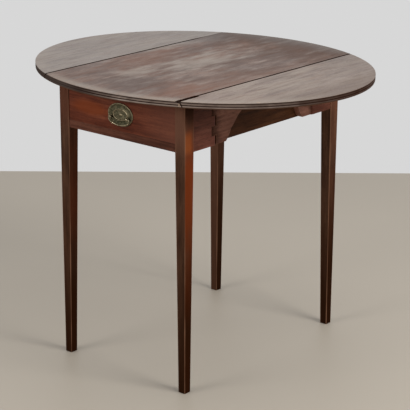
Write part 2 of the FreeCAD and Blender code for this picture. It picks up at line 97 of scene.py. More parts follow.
def planed(node, arris, coat, bare=None, share=lambda edge: 1):
    """A node's own shape with its outer arrises eased, each by a share of the arris, and bare if so said."""
    shape = welded(node)
    marks = shape.edges.layers.float.new("bevel_weight_edge")
    for edge in shape.edges:
        if edge.is_manifold and edge.is_convex and edge.calc_face_angle() > smooth_turn:
            edge[marks] = share(edge)
    piece = added(node + "_planed", smoothed(shape, node + "_planed", coat, bare or coat))
    eased = piece.modifiers.new("eased arrises", "BEVEL")
    eased.width = arris
    eased.segments = arris_steps
    eased.limit_method = "WEIGHT"
    eased.harden_normals = True
    eased.material = 1
    seated(piece, node)


class Wire:
    """One socket of a node tree. Sums of wires add Math nodes, and node() adds any other kind of node."""

    def __init__(self, tree, socket=None):
        self.tree = tree
        self.socket = socket

    def node(self, kind, settings, sockets, out=0):
        """A new node with its settings, then the values or wires of its sockets, and one of its outputs."""
        made = self.tree.nodes.new(kind)
        for key, value in settings.items():
            if key == "stops":
                ramp = made.color_ramp.elements
                while len(ramp) < len(value):
                    ramp.new(1)
                for stop, (place, tone) in zip(ramp, value):
                    stop.position = place
                    stop.color = (*tone, 1)
            else:
                setattr(made, key, value)
        free = [s for s in made.inputs if s.enabled]
        for key, value in sockets.items():
            plug = free[key] if isinstance(key, int) else next(s for s in free if s.name == key)
            if isinstance(value, Wire):
                self.tree.links.new(value.socket, plug)
            elif plug.type == "RGBA":
                plug.default_value = (*value, 1)
            else:
                plug.default_value = value
        ends = [s for s in made.outputs if s.enabled]
        if not ends:
            return None
        end = ends[out] if isinstance(out, int) else next(s for s in ends if s.name == out)
        return Wire(self.tree, end)

    def other(self, name):
        """Another output of the node that this socket belongs to."""
        return Wire(self.tree, self.socket.node.outputs[name])

    def maths(self, operation, *values):
        return self.node("ShaderNodeMath", {"operation": operation}, dict(enumerate(values)))

    def __add__(self, value):
        return self.maths("ADD", self, value)

    def __radd__(self, value):
        return self.maths("ADD", value, self)

    def __sub__(self, value):
        return self.maths("SUBTRACT", self, value)

    def __rsub__(self, value):
        return self.maths("SUBTRACT", value, self)

    def __mul__(self, value):
        return self.maths("MULTIPLY", self, value)

    def __rmul__(self, value):
        return self.maths("MULTIPLY", value, self)

    def __truediv__(self, value):
        return self.maths("DIVIDE", self, value)

    def __pow__(self, value):
        return self.maths("POWER", self, value)

    def __abs__(self):
        return self.maths("ABSOLUTE", self)


def rise(value, low, high):
    """A soft step from 0 at low to 1 at high, which may also be the lower of the two."""
    sockets = {"Value": value, "From Min": low, "From Max": high}
    return value.node("ShaderNodeMapRange", {"interpolation_type": "SMOOTHSTEP"}, sockets)


def lower(first, second):
    return first.maths("MINIMUM", first, second)


def higher(first, second):
    return first.maths("MAXIMUM", first, second)


def less(where, by):
    """1 where a mask is 0, and less by a share where it is 1."""
    return 1 - where * by


def blended(share, first, second):
    """The first colour where the share is 0, the second where it is 1."""
    sockets = {"Factor": share, "A": first, "B": second}
    return share.node("ShaderNodeMix", {"data_type": "RGBA"}, sockets)


def layered(colour, *coats):
    """A colour under other tones in turn, each given by where it lies, its greatest share, and the tone."""
    for where, share, tone in coats:
        colour = blended(where * share, colour, tone)
    return colour


def noise(place, scale, detail, drawn=(1, 1, 1), shift=(0, 0, 0)):
    """Noise that may be drawn out along the grain."""
    laid = place.node("ShaderNodeMapping", {}, {"Vector": place, "Scale": drawn, "Location": shift})
    return place.node("ShaderNodeTexNoise", {}, {"Vector": laid, "Scale": scale, "Detail": detail})


noise_middle = 0.5


def wander(size, place, scale, detail, drawn=(1, 1, 1)):
    """Noise that strays to both sides of nought, up to about half its size."""
    return (noise(place, scale, detail, drawn) - noise_middle) * size


def axes(place):
    """The three coordinates of a place."""
    x = place.node("ShaderNodeSeparateXYZ", {}, {"Vector": place}, "X")
    return x, x.other("Y"), x.other("Z")


def coated(name):
    """An empty material and its Object coordinates."""
    coat = bpy.data.materials.new(name)
    coat.use_nodes = True
    coat.node_tree.nodes.clear()
    return coat, Wire(coat.node_tree).node("ShaderNodeTexCoord", {}, {}, "Object")


def shaded(sockets, dry=None):
    """Ends a material in one Principled shader, and a share of dry colour where the polish is lost."""
    colour = sockets["Base Color"]
    shader = colour.node("ShaderNodeBsdfPrincipled", {}, sockets)
    if dry:
        chalk = {"Base Color": colour, "Roughness": 1.0, "Specular IOR Level": 0.0}
        chalky = colour.node("ShaderNodeBsdfPrincipled", {}, chalk)
        shader = colour.node("ShaderNodeMixShader", {}, {0: dry, 1: shader, 2: chalky})
    shader.node("ShaderNodeOutputMaterial", {}, {"Surface": shader})


figure_run = 5
streak_run = 40
pore_run = 16
mottle_times = 4
streak_scale = 190
pore_scale = 1100
pore_band = (0.56, 0.68)
figure_share = 0.45
mottle_share = 0.2
streak_share = 0.35
tone_places = (0.37, 0.5, 0.63)
pore_share = 0.5
pore_shade = 0.35
streak_dulling = 0.25
pore_dulling = 0.1
streak_relief = 0.4
grain_strength = 0.3
grain_height = 0.00012


def along_grain(along, run):
    """A scale that draws a pattern out along one axis."""
    return [1 / run if axis == along else 1 for axis in "XYZ"]


def wood(name, along, tones, gloss, shine, finish=None, shift=(0, 0, 0), figure_scale=18):
    """A board with drifting figure, long streaks and open pores along one axis, under an old finish."""
    coat, place = coated(name)
    broad = along_grain(along, figure_run)
    figure = noise(place, figure_scale, detail=4, drawn=broad, shift=shift)
    mottle = noise(place, mottle_times * figure_scale, detail=3, drawn=broad, shift=shift)
    streaks = noise(place, streak_scale, detail=5, drawn=along_grain(along, streak_run), shift=shift)
    pores = noise(place, pore_scale, detail=1, drawn=along_grain(along, pore_run), shift=shift)
    pores = rise(pores, *pore_band)
    depth = figure * figure_share + mottle * mottle_share + streaks * streak_share
    stops = list(zip(tone_places, tones))
    colour = depth.node("ShaderNodeValToRGB", {"stops": stops}, {"Fac": depth})
    colour = blended(pores * pore_share, colour, [part * pore_shade for part in tones[0]])
    rough = gloss + (streaks - noise_middle) * streak_dulling + pores * pore_dulling
    dry = None
    if finish:
        colour, rough, dry = finish(place, colour, rough)
    relief = streaks * streak_relief - pores
    bump = {"Height": relief, "Strength": grain_strength, "Distance": grain_height}
    grain = relief.node("ShaderNodeBump", {}, bump)
    shaded({"Base Color": colour, "Roughness": rough, "Normal": grain, "Specular IOR Level": shine}, dry)
    return coat


leg_low, leg_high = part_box("leg_front_right")
leg_size = leg_high.x - leg_low.x
foot_line = [v.co.x for v in nodes["leg_front_right"].data.vertices if v.co.z < weld_gap]
foot_size = max(foot_line) - min(foot_line)
rail_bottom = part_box("side_rail_right")[0].z
leg_tones = [(0.036, 0.016, 0.009), (0.070, 0.032, 0.018), (0.112, 0.054, 0.031)]
bare_arris = (0.21, 0.105, 0.062)
rubbed_red = (0.135, 0.021, 0.002)
side_orange = (0.25, 0.06, 0.010)
pale_head = (0.125, 0.055, 0.034)
red_head = (0.070, 0.020, 0.011)
foot_dark = (0.015, 0.0045, 0.0012)
deep_dark = (0.010, 0.004, 0.002)
leg_arris = 0.0009
worn_width = 0.0019
worn_wander = 0.004
worn_ragged = 0.0016
worn_dulling = 0.1
side_face = (0.0006, 0.0002)
leftwards = (0.1, -0.1)
backwards = (-0.1, 0.1)
frontwards = (0, -0.1)
head_rise = (rail_bottom - 0.03, rail_bottom + 0.05)
high_rise = (rail_bottom + 0.04, rail_bottom + 0.075)
leg_shade_rise = (rail_bottom + 0.03, rail_bottom + 0.115)
shin_rise = (0.2, 0.5)
foot_drop = (rail_bottom, 0)
foot_dark_share = 0.92
side_drop = (0.56, 0.14)
side_dark_share = 0.95
dark_dryness = 0.8
red_patches = (0.25, 0.6)
red_front = (0.5, -0.2)
pale_patches = (0.2, 0.5)
orange_middle = rail_bottom + 0.025
orange_reach = (0.035, 0.012)
orange_inset = (leg_size * 0.95, leg_size * 0.5)


def leg_finish(place, colour, rough):
    """Bare wood along the arrises, a redder rubbed side, painted shade on the side faces under the top, and darker
    towards the foot.
    """
    x, y, z = axes(place)
    size = foot_size + lower(z / rail_bottom, 1) * (leg_size - foot_size)
    inset_x = leg_high.x - abs(x)
    inset_y = -leg_low.y - abs(y)
    edge_x = lower(inset_x, size - inset_x)
    edge_y = lower(inset_y, size - inset_y)
    patches = noise(place, scale=14, detail=3, drawn=(1, 1, 0.4))
    ragged = wander(worn_ragged, place, scale=120, detail=3, drawn=(1, 1, 0.15))
    edge = higher(edge_x, edge_y) + (patches - noise_middle) * worn_wander + ragged
    side = rise(edge_x, *side_face)
    left = rise(x, *leftwards)
    back_left = left * rise(y, *backwards)
    front_left = left - back_left
    head = rise(z, *head_rise)
    high = rise(z, *high_rise)
    # painted shade: the side faces darken just under the top
    under = side * rise(z, *leg_shade_rise)
    bare = rise(edge, worn_width, 0) * less(higher(high, head * left), by=0.7)
    rubbed = side * rise(patches, *red_patches) * rise(y, *red_front)
    rubbed = rubbed * less(high, by=0.5) * less(left, by=0.45)
    orange = side * rise(abs(z - orange_middle), *orange_reach) * rise(inset_y, *orange_inset)
    orange = orange * (1 - left) * rise(y, *frontwards)
    darkening = higher(rise(z, *foot_drop) * foot_dark_share, side * rise(z, *side_drop) * side_dark_share)
    darkening = darkening * less(back_left * (1 - side), by=0.4)
    colour = layered(
        colour,
        (head * rise(patches, *pale_patches) * (1 - left), 0.75, pale_head),
        (head * left, 0.6, red_head),
        (back_left * (1 - head) * (1 - side), 0.5, pale_head),
        (front_left * rise(z, *shin_rise) * (1 - head), 0.3, deep_dark),
        (rubbed, 0.8, rubbed_red),
        (orange, 0.5, side_orange),
        (darkening, 1, foot_dark),
        (under, 0.85, deep_dark),
        (bare, 0.7, bare_arris),
    )
    return colour, rough + bare * worn_dulling, higher(darkening, under) * dark_dryness


leg_coat = wood("leg_polish", "Z", leg_tones, gloss=0.5, shine=0.035, finish=leg_finish)
for corner in corners:
    planed("leg_" + corner, leg_arris, leg_coat)


# Frame rails
# Mahogany rails tenoned into the legs at the back and under the drawer, a dovetailed rail over the drawer,
# and plainer stained side rails, set in from the legs so that the flies fold away against them.

sides = ["right", "left"]
rail_arris = 0.0006
side_rail_arris = 0.0008
rail_tones = [(0.035, 0.011, 0.006), (0.072, 0.024, 0.014), (0.115, 0.042, 0.025)]
rail_coat = wood("rail_polish", "X", rail_tones, gloss=0.45, shine=0.07, shift=(0.3, 0.1, 0.7))
for name in ["back_rail", "drawer_rail", "top_rail"]:
    planed(name, rail_arris, rail_coat)

inner_tones = [(0.03, 0.010, 0.003), (0.068, 0.023, 0.008), (0.11, 0.043, 0.017)]
inner_coat = wood("stained_rail", "Y", inner_tones, gloss=0.6, shine=0.08, shift=(0.8, 0.2, 0.1))
for side in sides:
    planed("side_rail_" + side, side_rail_arris, inner_coat)


# Fly brackets
# Each side has two fixed blocks glued to the rail and two sawn brackets that swing out under the leaf.
# Block and bracket are cut into round wooden fingers that turn on an iron pin.

fly_low, fly_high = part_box("fly_front_right")
fly_root = -fly_low.y
fly_tip = -fly_high.y
block_end = -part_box("fly_block_front_right")[0].y
block_arris = 0.0007
fly_arris = 0.0009
worn_tip = (0.20, 0.115, 0.07)
block_shade_rise = (rail_bottom + 0.02, fly_high.z)
block_shade_share = 0.5
block_by_leg = (block_end - 0.05, block_end)
block_by_leg_share = 0.3
block_back = (0, 0.1)
block_back_share = 0.4
tip_wear = (fly_tip + 0.045, fly_tip + 0.01)
tip_dulling = 0.1
knuckle_shade_reach = (fly_root - 0.04, fly_root - 0.005)
knuckle_share = 0.75
fly_wander = 0.03


def block_finish(place, colour, rough):
    """Painted shade that thickens under the top, and darker towards the leg and at the back of the table."""
    _, y, z = axes(place)
    # painted shade: the block darkens under the top
    under = rise(z, *block_shade_rise) * block_shade_share
    by_leg = rise(abs(y), *block_by_leg) * block_by_leg_share
    at_back = rise(y, *block_back) * block_back_share
    darkening = higher(under, higher(by_leg, at_back))
    return blended(darkening, colour, deep_dark), rough, darkening


def fly_finish(place, colour, rough):
    """A tip worn pale where fingers pull the fly out, and painted shade round its knuckle."""
    _, y, _ = axes(place)
    along = abs(y) + wander(fly_wander, place, scale=40, detail=3)
    tip = rise(along, *tip_wear)
    # painted shade: the fly darkens towards its knuckle, in the corner by the block
    knuckle = rise(along, *knuckle_shade_reach) * knuckle_share
    colour = layered(colour, (tip, 0.7, worn_tip), (knuckle, 1, deep_dark))
    return colour, rough + tip * tip_dulling, knuckle


bare_tones = [(0.11, 0.045, 0.022), (0.17, 0.075, 0.038), (0.23, 0.11, 0.06)]
bare_coat = wood("bare_mahogany", "Y", bare_tones, gloss=0.6, shine=0.2, shift=(0.5, 0.2, 0.8))
fly_polish = {"gloss": 0.5, "shine": 0.15}
block_tones = [(0.060, 0.017, 0.009), (0.125, 0.036, 0.021), (0.18, 0.062, 0.039)]
block_shift = (0.4, 0.9, 0.2)
block_coat = wood("fly_block_polish", "Y", block_tones, **fly_polish, finish=block_finish, shift=block_shift)
fly_tones = [(0.085, 0.030, 0.018), (0.185, 0.074, 0.047), (0.28, 0.125, 0.086)]
fly_coat = wood("fly_polish", "Y", fly_tones, **fly_polish, finish=fly_finish, shift=(0.1, 0.5, 0.3))
for corner in corners:
    planed("fly_block_" + corner, block_arris, block_coat, bare_coat)
    planed("fly_" + corner, fly_arris, fly_coat, bare_coat)

skin_patches = (0.38, 0.64)
skin_dulling = 0.25
pit_dulling = 0.1
pit_strength = 0.2
pit_height = 0.0001


def metal(name, bright, dull, gloss, cover=None):
    """Old metal with a duller skin that thickens in patches, or lies as its cover says."""
    coat, place = coated(name)
    skin = rise(noise(place, scale=240, detail=4), *skin_patches)
    if cover:
        skin = cover(place, skin)
    fine = noise(place, scale=1500, detail=2)
    colour = blended(skin, bright, dull)
    bump = {"Height": fine, "Strength": pit_strength, "Distance": pit_height}
    pitted = fine.node("ShaderNodeBump", {}, bump)
    rough = gloss + skin * skin_dulling + (fine - noise_middle) * pit_dulling
    shaded({"Base Color": colour, "Roughness": rough, "Normal": pitted, "Metallic": 1.0})
    return coat


def rounded(node, coat):
    """A node's own shape with its curves shaded smooth."""
    mesh = smoothed(welded(node), node + "_smooth", coat)
    seated(added(node + "_smooth", mesh), node)


iron_coat = metal("dull_iron", bright=(0.12, 0.11, 0.10), dull=(0.05, 0.042, 0.036), gloss=0.45)
rounded("fly_pins", iron_coat)


# Runners, kickers, stops and glue blocks
# Unpolished oak strips glued inside the frame to carry, guide and stop the drawer, and glue blocks rubbed in
# behind the back rail. Screws with sawn slots go up through the kickers into the centre board.

strip_arris = 0.0008
oak_tones = [(0.15, 0.085, 0.04), (0.27, 0.165, 0.085), (0.38, 0.25, 0.14)]
oak_coat = wood("bare_oak", "Y", oak_tones, gloss=0.7, shine=0.2, shift=(0.6, 0.4, 0.9))
strips = [kind + side for kind in ("runner_", "kicker_") for side in sides]
for name in strips + ["drawer_stops", "glue_blocks"]:
    planed(name, strip_arris, oak_coat)


def solids_of(node):
    """The vertices of each separate solid in a node."""
    shape = welded(node)
    left = set(shape.verts)
    groups = []
    while left:
        reached = [left.pop()]
        for vert in reached:
            near = {edge.other_vert(vert) for edge in vert.link_edges} & left
            left -= near
            reached += near
        groups.append([vert.co.copy() for vert in reached])
    shape.free()
    return groups


def middle_of(solid):
    """The mean of a solid's vertices."""
    return sum(solid, Vector()) / len(solid)


def sizes_tree(name, **sizes):
    """An empty Geometry Nodes tree with a named input for each size, and the wires from those inputs."""
    tree = bpy.data.node_groups.new(name, "GeometryNodeTree")
    tree.interface.new_socket("Geometry", in_out="INPUT", socket_type="NodeSocketGeometry")
    tree.interface.new_socket("Geometry", in_out="OUTPUT", socket_type="NodeSocketGeometry")
    for label, kind in sizes.items():
        tree.interface.new_socket(label, in_out="INPUT", socket_type="NodeSocket" + kind)
    given = Wire(tree).node("NodeGroupInput", {}, {}, "Geometry")
    return given, [given.other(label) for label in sizes]


def ended(pieces, coat):
    """Ends a tree in plain meshes of its instances, in one material."""
    pieces = pieces.node("GeometryNodeRealizeInstances", {}, {"Geometry": pieces})
    pieces = pieces.node("GeometryNodeSetMaterial", {}, {"Geometry": pieces, "Material": coat})
    pieces.node("NodeGroupOutput", {}, {"Geometry": pieces})


def grown(name, given, sizes, base):
    """The plain mesh that a tree makes from its base mesh and its sizes."""
    holder = added(name, base)
    steps = holder.modifiers.new("steps", "NODES")
    steps.node_group = given.tree
    for item in given.tree.interface.items_tree:
        if item.in_out == "INPUT" and item.name in sizes:
            steps[item.identifier] = sizes[item.name]
    bpy.context.view_layer.update()
    mesh = bpy.data.meshes.new_from_object(holder.evaluated_get(bpy.context.evaluated_depsgraph_get()))
    holder.modifiers.remove(steps)
    holder.data = mesh
    return holder


head_sides = 24
shank_sides = 16
saw_overrun = 3
slot_width = 0.0007
turn_seed = 3
screw_kinds = {"Head": "Float", "Shank": "Float", "Sink": "Float", "Length": "Float", "Slot": "Float"}
screwed, screw_sizes = sizes_tree("slotted_screws", **screw_kinds, Coat="Material")
head, shank, sink, length, slot, coat = screw_sizes
cone_sizes = {"Vertices": head_sides, "Radius Top": shank, "Radius Bottom": head, "Depth": sink}
cone = screwed.node("GeometryNodeMeshCone", {}, cone_sizes)
saw_size = screwed.node("ShaderNodeCombineXYZ", {}, {"X": head * saw_overrun, "Y": slot, "Z": sink})
saw = screwed.node("GeometryNodeMeshCube", {}, {"Size": saw_size})
cut = {"Mesh 1": cone, "Mesh 2": saw}
sawn_head = screwed.node("GeometryNodeMeshBoolean", {"operation": "DIFFERENCE"}, cut)
rod_sizes = {"Vertices": shank_sides, "Radius": shank, "Depth": length - sink}
rod = screwed.node("GeometryNodeMeshCylinder", {}, rod_sizes)
lift = screwed.node("ShaderNodeCombineXYZ", {}, {"Z": (length + sink) / 2})
lifted_rod = screwed.node("GeometryNodeTransform", {}, {"Geometry": rod, "Translation": lift})
screw = screwed.node("GeometryNodeJoinGeometry", {}, {"Geometry": sawn_head})
screwed.tree.links.new(lifted_rod.socket, screw.socket.node.inputs["Geometry"])
half_turns = {"Max": math.pi, "Seed": turn_seed}
driven = screwed.node("FunctionNodeRandomValue", {"data_type": "FLOAT"}, half_turns)
driven_turn = screwed.node("ShaderNodeCombineXYZ", {}, {"Z": driven})
screws = {"Points": screwed, "Instance": screw, "Rotation": driven_turn}
ended(screwed.node("GeometryNodeInstanceOnPoints", {}, screws), coat)


def slotted(node):
    """The screws of a node, each with its head sawn for a turnscrew."""
    solids = solids_of(node)
    first = solids[0]
    levels = sorted({round(co.z, 5) for co in first})
    middle = middle_of(first)
    radii = [max(abs(co.x - middle.x) for co in first if abs(co.z - z) < weld_gap) for z in levels]
    sizes = {"Head": radii[0], "Shank": radii[-1], "Sink": levels[1] - levels[0]}
    sizes.update({"Length": levels[-1] - levels[0], "Slot": slot_width, "Coat": iron_coat})
    places = bpy.data.meshes.new(node + "_places")
    places.from_pydata([(*middle_of(solid).xy, levels[0]) for solid in solids], [], [])
    seated(grown(node + "_slotted", screwed, sizes, places), node)


slotted("top_screws")


# Oval top
# A centre board and two leaves of thin solid mahogany, cut as one oval with two reeds round the edge.
# The boards meet in rule joints whose lines hold dark wax and are painted darker still with the shade of the open
# joint, and the polish has faded and bloomed.

top_low, top_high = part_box("centre_top")
half_oval_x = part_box("leaf_right")[1].x
half_oval_y = top_high.y
joint_x, _, joint_z = next(j["pos_m"] for j in frame["joints"] if j["name"] == "right_leaf_drop")
round_size = top_high.x - joint_x
rim_slack = 0.0001
rim_line = [v.co.z for v in nodes["leaf_right"].data.vertices if v.co.x > half_oval_x - rim_slack]
low_crest = min(rim_line)
reed_groove = (low_crest + max(rim_line)) / 2
wax_and_shade = (0.010, 0.004, 0.002)
edge_shade = (0.020, 0.010, 0.007)
rim_red = (0.021, 0.0075, 0.004)
rim_grey = (0.050, 0.037, 0.032)
crest_highlight = (0.25, 0.187, 0.153)
bloom_tone = (0.29, 0.238, 0.196)
red_tone = (0.150, 0.068, 0.042)
dark_tone = (0.075, 0.038, 0.025)
warm_tone = (0.185, 0.078, 0.040)
cool_tone = (0.222, 0.224, 0.224)
chip_tone = (0.34, 0.24, 0.17)
sawn_under = (0.125, 0.068, 0.040)


def between(where, low, high):
    """A value that goes from low where a mask is 0 to high where it is 1."""
    return where * (high - low) + low


def spot(place, centre, size):
    """A soft round patch about a point, 1 in its middle."""
    off = place.node("ShaderNodeVectorMath", {"operation": "SUBTRACT"}, {0: place, 1: centre})
    off = off.node("ShaderNodeVectorMath", {"operation": "DIVIDE"}, {0: off, 1: size})
    return rise(off.node("ShaderNodeVectorMath", {"operation": "LENGTH"}, {0: off}, "Value"), 1, 0)


def spotted(place, *marks):
    """The strongest of several soft patches on the top, each given by its middle and half its size."""
    shown = None
    for x, y, half_x, half_y in marks:
        mark = spot(place, (x, y, top_high.z), (half_x, half_y, 1))
        shown = higher(shown, mark) if shown else mark
    return shown


broad_crest_patches = (0.3, 0.6)
broad_share = 0.35
fine_crest_patches = (0.35, 0.65)
fine_share = 0.35
least_crest = 0.3
brightest = 0.125
bright_reach = (0.045, 0.01)
crest_from = (-0.06, 0.08)
crest_less = (0.05, 0.15)
crest_to = (0.38, 0.43)
lower_reed_rise = (reed_groove + 0.0005, reed_groove - 0.0005)
under_reed_rise = (low_crest - 0.0003, low_crest - 0.0016)


def reed_highlight_and_wear(place, x, y, z):
    """The painted highlight on the reed crests, partly where hands have rubbed them: most at the near right and on
    the lower reed, and less on the upper reed and under the lower one, which are left in painted shade.
    """
    broad = rise(noise(place, scale=9, detail=2), *broad_crest_patches)
    fine = rise(noise(place, scale=30, detail=2), *fine_crest_patches)
    # painted highlight: a bright stretch of the front crests about x = 0.125
    bright = rise(abs(x - brightest), *bright_reach) * rise(y, *frontwards)
    lit_and_worn = higher(broad * broad_share + fine * fine_share + least_crest, bright)
    crest_along = rise(x, *crest_from) * less(rise(x, *crest_less), by=0.3)
    crest_along = crest_along * less(rise(x, *crest_to), by=0.85)
    lit_and_worn = lit_and_worn * between(crest_along, low=0.07, high=1)
    # painted shade: the upper reed gets less of the highlight, and the underside of the lower reed almost none
    lit_and_worn = lit_and_worn * between(rise(z, *lower_reed_rise), low=0.6, high=1)
    return lit_and_worn * less(rise(z, *under_reed_rise), by=0.9)


line_width = (0.0036, 0.0024)
line_closing = 0.0018
thin_line = (0.0015, 0.0008)
line_start = 0.001
closed_back = (0.2, 0.28)
left_side = (0, -0.01)
right_side = (0, 0.01)
broken_front = (-0.262, -0.268)
gap_middle = joint_x + 0.002
gap_width = (0.007, 0.0055)


def wax_and_shade_lines(ragged, x, y, z, below, edge):
    """Dark wax and painted shade in the rule joints, along the top and round at the edge, and in a gap broken open
    in front.
    """
    from_joint = abs(abs(x) - joint_x)
    closed = rise(y, *closed_back) * rise(x, *left_side)
    along = rise(from_joint + below * line_closing, *line_width) * less(closed, by=0.8) * (1 - edge)
    past_joint = higher(abs(x) - joint_x, 0)
    over_pin = z - joint_z
    from_round = abs((past_joint * past_joint + over_pin * over_pin) ** 0.5 - round_size)
    round_line = rise(from_round, *thin_line) * rise(abs(x), joint_x - line_start, joint_x)
    square_line = rise(from_joint, *thin_line) * rise(over_pin, round_size - line_start, round_size)
    at_edge = edge * higher(round_line, square_line)
    # painted shadow and dirt in a chip broken out of the joint at the front
    broken = rise(y, *broken_front) * rise(x, *right_side) * (1 - below)
    gap = rise(abs(x - gap_middle) + ragged, *gap_width) * broken
    return higher(higher(along, at_edge), gap)


edge_drop = (top_high.z - 0.0008, top_high.z - 0.0018)
under_drop = (top_low.z + 0.002, top_low.z + 0.001)
under_dryness = 0.7
wax_dulling = 0.6
sleeve_reach = (0.90, 0.98)
sleeve_front = (0.05, -0.22)
sleeve_right = (-0.22, -0.12)
edge_reach = (0.990, 0.994)
crest_reach = (0.9984, 0.9996)
red_end = (0.36, 0.43)
grey_front = (0.0, -0.13)
ragged_width = 0.004
chip_ragged = 60
chip_edge = (0.25, 0.6)


def edge_finish(place, colour, rough):
    """The reeded edge painted dark as shade, with a painted highlight on its crests that is partly rubbed wear,
    and dark wax and painted shade in the joint lines.
    """
    x, y, z = axes(place)
    reach = ((x / half_oval_x) ** 2 + (y / half_oval_y) ** 2) ** 0.5
    below = rise(z, *edge_drop)
    sleeves = rise(reach, *sleeve_reach) * (1 - below)
    sleeves = sleeves * between(rise(y, *sleeve_front), low=0.12, high=0.55)
    sleeves = sleeves * between(rise(x, *sleeve_right), low=0.4, high=1)
    # painted shade: the reeded edge below the top is painted near black
    edge = below * rise(reach, *edge_reach)
    # painted highlight, partly rubbed wear, on the outermost crests of the reeds
    crest = below * rise(reach, *crest_reach) * reed_highlight_and_wear(place, x, y, z)
    ragged = wander(ragged_width, place, scale=160, detail=3)
    joint_wax_and_shade = wax_and_shade_lines(ragged, x, y, z, below, edge)
    corner_chip = spot(place, centre=(0.2098, -0.330, 0.7115), size=(0.0030, 0.006, 0.006))
    rim_chip = spot(place, centre=(0.347, -0.222, 0.72), size=(0.010, 0.006, 0.003))
    chips = rise(higher(corner_chip, rim_chip) + ragged * chip_ragged, *chip_edge)
    under = rise(z, *under_drop)
    colour = layered(
        colour,
        (sleeves, 1, bloom_tone),
        (edge, 1, edge_shade),
        (edge * rise(x, *red_end), 0.8, rim_red),
        (edge * rise(x, *grey_front), 0.75, rim_grey),
        (crest, 1, crest_highlight),
        (joint_wax_and_shade, 1, wax_and_shade),
        (chips, 0.7, chip_tone),
        (under, 0.7, sawn_under),
    )
    dry = higher(higher(joint_wax_and_shade, edge - crest), under * under_dryness)
    return colour, rough + higher(joint_wax_and_shade, under) * wax_dulling, dry


red_marks = [(-0.13, -0.02, 0.09, 0.3), (0.13, -0.26, 0.12, 0.2)]
red_push = 0.35
red_clouds = (0.48, 0.9)
grey_marks = [(-0.06, -0.17, 0.08, 0.12), (-0.02, 0.03, 0.12, 0.27), (-0.19, 0.11, 0.05, 0.14)]
grey_push = 0.4
grey_clouds = (0.52, 1.0)
dark_marks = [(0.10, 0.25, 0.2, 0.22), (0.02, -0.27, 0.17, 0.13)]
dark_marks += [(-0.12, 0, 0.06, 0.4), (0.15, 0, 0.06, 0.25)]
faint_marks = [(0.05, 0.04, 0.1, 0.12), (-0.15, -0.16, 0.08, 0.12), (0.11, -0.15, 0.08, 0.1)]
faint_share = 0.72
dark_back = (0.2, 0.32)
dark_push = 0.45
dark_clouds = (0.48, 0.92)
warm_left = (-0.13, -0.06, 0.075, 0.2)
warm_left_share = 0.45
warm_right = (0.19, -0.12, 0.12, 0.3)
warm_right_share = 0.35
cool_corner = (-0.2, 0.24, 0.12, 0.2)
cool_corner_share = 0.45
cool_back = (0.27, 0.37)
cool_back_share = 0.4
cool_shade = 0.55
dry_back = (0.1, 0.3)
dry_back_share = 0.4
centre_dulling = 0.4


def centre_finish(place, colour, rough):
    """Red, dark and grey patches where the polish of the centre board has faded unevenly."""
    _, y, _ = axes(place)
    cloud = noise(place, scale=52, detail=4, drawn=(1, 0.27, 1), shift=(0.35, 0.1, 0))
    other_cloud = noise(place, scale=60, detail=4, drawn=(1, 0.3, 1), shift=(0.15, 0.8, 0))
    red = spotted(place, *red_marks) * red_push + cloud
    grey = spotted(place, *grey_marks) * grey_push + 1 - cloud
    dark = higher(spotted(place, *dark_marks), spotted(place, *faint_marks) * faint_share)
    dark = higher(dark, rise(y, *dark_back)) * dark_push + other_cloud
    warm = spotted(place, warm_left) * warm_left_share
    warm = higher(warm, spotted(place, warm_right) * warm_right_share)
    cool = spotted(place, cool_corner) * cool_corner_share
    cool = higher(cool, rise(y, *cool_back) * cool_back_share)
    colour = layered(
        colour,
        (rise(red, *red_clouds), 0.8, red_tone),
        (rise(dark, *dark_clouds), 0.8, dark_tone),
        (rise(grey, *grey_clouds), 0.6, bloom_tone),
        (warm, 1, warm_tone),
        (cool, 1, [part * cool_shade for part in cool_tone]),
    )
    colour, rough, dry = edge_finish(place, colour, rough + (cloud - noise_middle) * centre_dulling)
    return colour, rough, higher(dry, rise(y, *dry_back) * dry_back_share)


leaf_bloom = (0.4, 0.62)
leaf_rose = (0.5, 0.75)
dark_scuffs = (0.5, 0.68)
pale_scuffs = (0.5, 0.32)
cool_left = (0.05, -0.2)
cool_left_share = 0.24
cool_far = (0.1, 0.3)
cool_far_share = 0.1
warm_near = (-0.05, -0.3)
right_leaf = (0, 0.2)
rightwards = (-0.1, 0.1)
shady_far = (0.0, 0.4)
shady_far_share = 0.4
shady_end = (0.31, 0.43)
shady_end_share = 0.6
leaf_dulling = 0.3


def leaf_finish(place, colour, rough):
    """A greyer, more even bloom over the leaves, cooler on the left, with fine scuffs along the grain."""
    x, y, _ = axes(place)
    cloud = noise(place, scale=45, detail=5, drawn=(1, 0.17, 1), shift=(0.75, 0.5, 0))
    rosy = noise(place, scale=60, detail=6, drawn=(1, 0.2, 1), shift=(0.25, 0.3, 0))
    scuffs = noise(place, scale=130, detail=5, drawn=(1, 0.1, 1))
    cool = rise(x, *cool_left) * cool_left_share + rise(y, *cool_far) * cool_far_share
    shady = rise(y, *shady_far) * rise(x, *rightwards) * shady_far_share
    shady = higher(shady, rise(x, *shady_end) * shady_end_share)
    colour = layered(
        colour,
        (rise(cloud, *leaf_bloom), 0.5, bloom_tone),
        (rise(rosy, *leaf_rose), 0.4, red_tone),
        (rise(scuffs, *dark_scuffs), 0.36, dark_tone),
        (rise(scuffs, *pale_scuffs), 0.32, bloom_tone),
        (cool, 1, cool_tone),
        (rise(y, *warm_near) * rise(x, *right_leaf), 0.12, warm_tone),
        (shady, 1, dark_tone),
    )
    return edge_finish(place, colour, rough + (cloud - noise_middle) * leaf_dulling)


top_arris = 0.0014
rim_share = 0.5
joint_slack = 0.002


